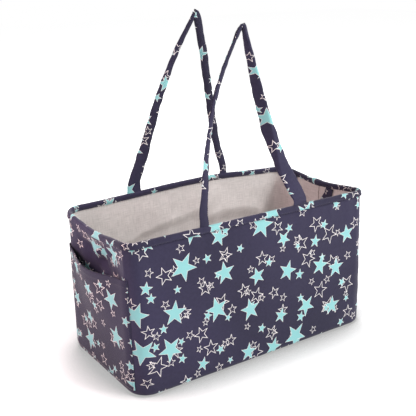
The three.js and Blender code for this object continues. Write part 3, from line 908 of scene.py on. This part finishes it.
def folded(side, width, split):
    """Place across and behind the strap's face of a point of its cut, folded to width.
    What doesn't fit is turned behind at both edges, and back again where it is long."""
    spare = max(0.0, strap_cut - width)
    left_edge = -strap_cut / 2 + spare * split
    right_edge = strap_cut / 2 - spare * (1 - split)
    middle = (left_edge + right_edge) / 2
    if left_edge <= side <= right_edge:
        return side - middle, 0.0
    on_left = side < left_edge
    edge, way = (left_edge, -1) if on_left else (right_edge, 1)
    bend = fold_radius * (1.0 if on_left else 1.7)
    over = abs(side - edge)
    if over < math.pi * bend:
        angle = over / bend
        return edge - middle + way * bend * math.sin(angle), bend * (1 - math.cos(angle))
    span = max(0.003, width - 0.0015)
    turns, rest = divmod(over - math.pi * bend, span)
    back_in = span - rest if turns % 2 else rest
    return edge - middle - way * back_in, 2 * bend + 0.0009 * turns


def set_thickness(piece):
    """Makes the cloth's thickness part of the mesh."""
    bpy.context.view_layer.update()
    held = piece.evaluated_get(bpy.context.evaluated_depsgraph_get())
    piece.data = bpy.data.meshes.new_from_object(held)
    piece.modifiers.clear()


handles = [
    # name, side, place of the cloth in the print, share of the spare cloth that is turned
    # behind on the left, and its form: top, lean, belly, sway, widths at the feet and at
    # the top, how soon the legs narrow, and twists, each for the left and the right leg
    ("front", -1, (0.10, -0.80), 0.75,
     (0.633, 0.033, 0.022, -0.007, (0.016, 0.035), (0.006, 0.004), (0.7, 0.65), (20, 12))),
    ("back", 1, (0.70, 0.57), 0.35,
     (0.650, 0.076, 0.009, -0.003, (0.028, 0.012), (0.006, 0.010), (0.6, 1.0), (-12, 20))),
]
for name, side, print_place, split, form in handles:
    top, lean, belly, sway, widths, tops, narrowing, twists = form
    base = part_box(name + "_handle_foot_left")[1].z + piece_gap

    def run_point(way, out, up):
        return Vector(
            (
                foot_shift + way * out * foot_spacing / 2 + sway * math.sin(math.pi * up),
                side * (rim_middle - lean * up) + belly * 4 * up * (1 - up),
                lerp(base, top, up),
            )
        )

    run = [run_point(-1, out, up) for out, up in leg_run]
    run += [run_point(1, out, up) for out, up in reversed(leg_run[:-1])]
    seats = [rim_top(end.x, end.y) for end in (run[0], run[-1])]
    run.insert(0, Vector((run[0].x, run[0].y, seats[0] - strap_sunk)))
    run.append(Vector((run[-1].x, run[-1].y, seats[1] - strap_sunk)))
    spots, length = smooth_run(run, strap_steps)
    sections = []
    for i, spot in enumerate(spots):
        before, after = spots[max(0, i - 1)], spots[min(strap_steps, i + 1)]
        along = (after - before).normalized()
        thin = Vector((0, 1, 0))
        face = (thin - along * thin.dot(along)).normalized()
        climb = clamp((spot.z - base) / (top - base))
        leg = 0 if i < strap_steps / 2 else 1
        # The leg twists as it climbs, but its foot lies along the rim
        turned = smooth(0.0, 0.45, climb) * smooth(1.0, 0.93, climb)
        face = Matrix.Rotation(math.radians(twists[leg]) * turned, 3, along) @ face
        edge = along.cross(face)
        if edge.x < 0:
            edge = -edge
        level = 1 - smooth(0.0, 0.12, climb)
        face = face.lerp(thin, level).normalized()
        edge = edge.lerp(Vector((1, 0, 0)), level).normalized()
        width = lerp(widths[leg], tops[leg], climb ** narrowing[leg])
        uneven = ripple(spot, 0.030, 6.0 + side) + 0.5 * ripple(spot, 0.012, 16.0 + side)
        width *= 1 + 0.17 * uneven * smooth(0.0, 0.15, climb)
        crumple = ripple(spot, 0.019, 26.0 + side) * smooth(0.03, 0.2, climb)
        spot = spot + edge * (0.0011 * crumple)
        flare = 0.002 * smooth(0.008, 0.0, spot.z - seats[leg])
        sections.append((spot, face, edge, width, flare, climb))

    def strap_place(across, up):
        at = clamp(up / length) * strap_steps
        index = min(strap_steps - 1, int(at))
        here, there = sections[index], sections[index + 1]
        spot, face, edge = (here[k].lerp(there[k], at - index) for k in range(3))
        width, flare, climb = (lerp(here[k], there[k], at - index) for k in range(3, 6))
        x, behind = folded(across - strap_cut / 2, min(width, strap_cut), split)
        x *= 1 + flare / strap_cut
        crown = 0.0011 * (1 - min(1.0, abs(x) / (width / 2)) ** 2)
        if side < 0 and up > length / 2:  # the front's right leg is creased along a keel
            keel = width * lerp(-0.5, 0.5, smooth(0.05, 0.62, climb))
            steep = 0.85 * smooth(0.05, 0.25, climb) * smooth(0.98, 0.90, climb)
            crown -= steep * max(0.0, keel - x) + 0.15 * max(0.0, x - keel)
        rumple = 0.0017 * ripple((across * 0.6, up, 3.0 + side), 0.014, 8.0)
        rumple *= smooth(0.02, 0.15, climb)
        depth = behind - crown - rumple - 0.0008 - fold_radius * smooth(0.1, 0.7, climb)
        return spot + edge.normalized() * x + face.normalized() * depth

    def strap_facing(across, up):
        here = strap_place(across, up)
        onwards = strap_place(across, up + 0.0001) - here
        normal = onwards.cross(strap_place(across + 0.0002, up) - here)
        return normal if normal.length > 0 else Vector((0, -1, 0))

    strap = bmesh.new()
    sew(strap, strap_columns, strap_steps, strap_cut, length, strap_place, print_place)
    strap_piece = finish_piece(strap, name + "_strap_cloth", canvas, ply_thickness)
    set_thickness(strap_piece)
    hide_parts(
        name + "_handle",
        name + "_handle_foot_left",
        name + "_handle_foot_right",
    )
    along_strap = [length * i / strap_row_steps for i in range(strap_row_steps + 1)]
    edge_rows = bmesh.new()
    for across in (strap_seam, strap_cut - strap_seam):
        path = [strap_place(across, up) for up in along_strap]
        stitch(edge_rows, path, [strap_facing(across, up) for up in along_strap], pitch=0.0036)
    strap_stitches = finish_piece(edge_rows, name + "_strap_stitches", thread)
    for piece in (strap_piece, strap_stitches):
        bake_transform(piece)


# Inner strap: a narrow loop of the printed canvas inside the right end, to hold things to
# the wall. Both its ends are sewn in under the casing, and the loop hangs from them.
loop_width = 0.022
loop_thickness = 0.0020
loop_steps = 120
root_front, root_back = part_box("inner_strap_root_front"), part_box("inner_strap_root_back")
loop_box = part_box("inner_strap")
leg_front = (root_front[0].y + root_front[1].y) / 2
leg_back = (root_back[0].y + root_back[1].y) / 2
loop_middle = (leg_front + leg_back) / 2
loop_half = (leg_back - leg_front) / 2
loop_top = loop_box[1].z
loop_depth = loop_top - loop_box[0].z - loop_width / 2
# Share of the loop's half width, and of its way down, from a root to the lowest point
hang_run = [(1.0, 0.0), (0.84, 0.18), (0.64, 0.44), (0.4, 0.75), (0.19, 0.94), (0.0, 1.0)]


def hang_point(way, out, down):
    """A point of the loop, that stands further off the wall as it leaves the casing."""
    height = loop_top - down * loop_depth
    x = wall(quarter, height).x - 0.0049 - 0.002 * min(1.0, down / 0.35)
    return Vector((x, loop_middle + way * out * loop_half, height))


def root_point(root, y, way):
    """A point of the loop's end, under the casing's inner row of stitches."""
    sewn_at = rim_top(rim_half[0], y) - stitch_inside
    return Vector((root[0].x + 0.0022, y + way * 0.004, sewn_at))


loop_run = [
    root_point(root_front, leg_front, -1),
    *(hang_point(-1, out, down) for out, down in hang_run),
    *(hang_point(1, out, down) for out, down in reversed(hang_run[:-1])),
    root_point(root_back, leg_back, 1),
]
loop_spots, loop_length = smooth_run(loop_run, loop_steps)


def loop_place(across, up):
    at = clamp(up / loop_length) * loop_steps
    index = min(loop_steps - 1, int(at))
    spot = loop_spots[index].lerp(loop_spots[index + 1], at - index)
    along = (loop_spots[index + 1] - loop_spots[index]).normalized()
    inwards = Vector((-1, 0, 0))
    inwards = (inwards - along * inwards.dot(along)).normalized()
    edge = inwards.cross(along)
    drape = 0.0006 * ripple((across, up, 0.0), 0.02, 31.0)
    return spot + edge * (across - loop_width / 2) + inwards * (0.0010 + drape)


loop = bmesh.new()
sew(loop, 16, loop_steps, loop_width, loop_length, loop_place, (0.915, 0.43))
inner_loop = finish_piece(loop, "inner_strap_cloth", canvas, loop_thickness)
set_thickness(inner_loop)
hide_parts("inner_strap", "inner_strap_root_front", "inner_strap_root_back")
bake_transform(inner_loop)


# Floor and light: a plain white studio floor with a soft shadow, and a painted shadow that
# deepens it where the bag stands on it. A key and a large soft light come from the front right,
# a weak warm one from the left and one from behind, under an even pale sky.
floor_data = bpy.data.meshes.new("floor")
floor_bm = bmesh.new()
bmesh.ops.create_grid(floor_bm, x_segments=1, y_segments=1, size=12.0)
bmesh.ops.translate(floor_bm, verts=floor_bm.verts, vec=(0.0, 0.0, -0.0005))
floor_bm.to_mesh(floor_data)
floor_bm.free()
studio_floor = bpy.data.objects.new("floor", floor_data)
bpy.context.collection.objects.link(studio_floor)
pure_white = (1.0, 1.0, 1.0, 1.0)

# Painted board: matt, lifted to the background's white where it is seen, with a painted
# shadow near the bag, where a flat grey glow takes over as ambient occlusion finds the bag
white, tree, shader = start_material("white floor with painted contact shadow")
tree.nodes.remove(shader)
paper = add(tree, "BsdfDiffuse", Color=colour("#f4f4f4"))
glow = add(tree, "Emission", Color=pure_white, Strength=0.77)
lifted = add(tree, "AddShader", s0=paper.outputs[0], s1=glow.outputs[0])
# Painted contact shadow: a flat grey glow that stands in for the shade under the bag
painted_shadow_glow = add(tree, "Emission", Color=pure_white, Strength=0.46)
nearby = add(tree, "AmbientOcclusion", {"samples": 16}, Distance=0.15)
clear = add(tree, "MapRange", Value=nearby.outputs["AO"], From_Min=0.50)
painted_contact_shadow = add(tree, "MixShader", s0=clear.outputs[0], s1=painted_shadow_glow.outputs[0], s2=lifted.outputs[0])
rays = add(tree, "LightPath").outputs
seen = add(
    tree, "Math", {"operation": "MAXIMUM"}, s0=rays["Is Camera Ray"], s1=rays["Is Glossy Ray"]
)
mixed = add(tree, "MixShader", s0=seen.outputs[0], s1=paper.outputs[0], s2=painted_contact_shadow.outputs[0])
tree.links.new(mixed.outputs[0], tree.nodes["Material Output"].inputs["Surface"])
floor_data.materials.append(white)

world = bpy.data.worlds.new("studio")
bpy.context.scene.world = world
world.use_nodes = True
tree = world.node_tree
sky = tree.nodes["Background"]
sky.inputs["Color"].default_value = pure_white
sky.inputs["Strength"].default_value = 0.24
backdrop = add(tree, "Background", Color=pure_white, Strength=1.0)
rays = add(tree, "LightPath").outputs
seen = add(
    tree, "Math", {"operation": "MAXIMUM"}, s0=rays["Is Camera Ray"], s1=rays["Is Glossy Ray"]
)
around = add(tree, "MixShader", s0=seen.outputs[0], s1=sky.outputs[0], s2=backdrop.outputs[0])
tree.links.new(around.outputs[0], tree.nodes["World Output"].inputs["Surface"])

lit_middle = Vector((0.0, 0.0, 0.2))
for name, spot, size, watts, tint in (
    ("key", (2.20, -3.30, 3.60), 1.1, 110.0, "#ffffff"),
    ("soft", (1.40, -2.35, 2.00), 3.0, 70.0, "#ffffff"),
    ("left", (-0.78, 0.08, 0.50), 0.3, 3.5, "#ffd8dc"),
    ("back", (1.60, 2.90, 2.20), 1.6, 55.0, "#ffffff"),
):
    light_data = bpy.data.lights.new(name, "AREA")
    light_data.shape = "DISK"
    light_data.size = size
    light_data.energy = watts
    light_data.color = colour(tint)[:3]
    light = bpy.data.objects.new(name, light_data)
    bpy.context.collection.objects.link(light)
    turned = (lit_middle - Vector(spot)).to_track_quat("-Z", "Y").to_matrix()
    light.matrix_world = Matrix.Translation(spot) @ turned.to_4x4()

bpy.context.scene.view_settings.view_transform = "Standard"
